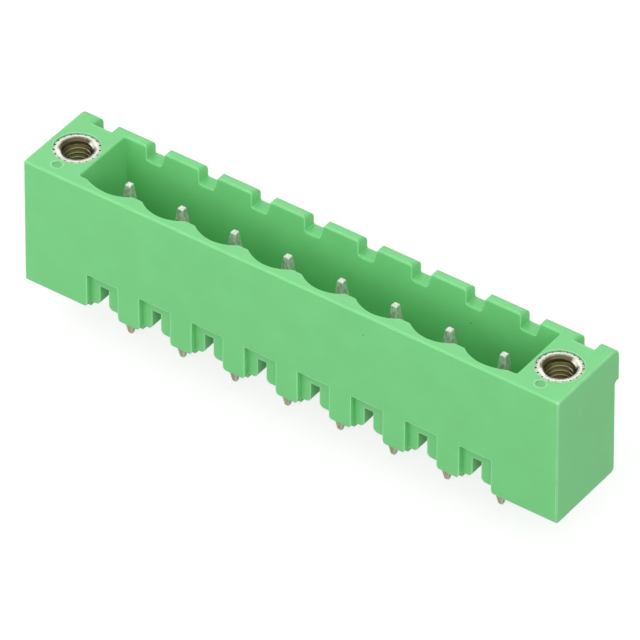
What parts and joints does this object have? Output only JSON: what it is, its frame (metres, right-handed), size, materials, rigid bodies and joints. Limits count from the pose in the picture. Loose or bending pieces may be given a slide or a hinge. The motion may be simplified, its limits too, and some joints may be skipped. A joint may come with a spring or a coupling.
{
  "type": "pluggable terminal block header",
  "caption": "Upright board header for a pluggable terminal block: long moulded cavity with straight pins, crenellated latching rail and closed ends with threaded inserts.",
  "frame": {"origin": "on the seating plane against the circuit board, in the middle of the row of pins", "axes": "+X along the row of poles, +Y from the scalloped front wall to the latching rail, +Z away from the board, the way the plug is pulled out"},
  "size_m": [0.0508, 0.0083, 0.0163],
  "materials": {
    "housing_plastic": "moulded green plastic with a soft sheen",
    "contact_metal": "tin-plated square wire",
    "insert_metal": "nickel-plated brass with bare yellow-brown metal in the thread"
  },
  "bodies": {
    "root": {"housing": "housing_plastic", "pin_1": "contact_metal", "pin_2": "contact_metal", "pin_3": "contact_metal", "pin_4": "contact_metal", "pin_5": "contact_metal", "pin_6": "contact_metal", "pin_7": "contact_metal", "pin_8": "contact_metal", "insert_left": "insert_metal", "insert_right": "insert_metal"}
  },
  "joints": []
}
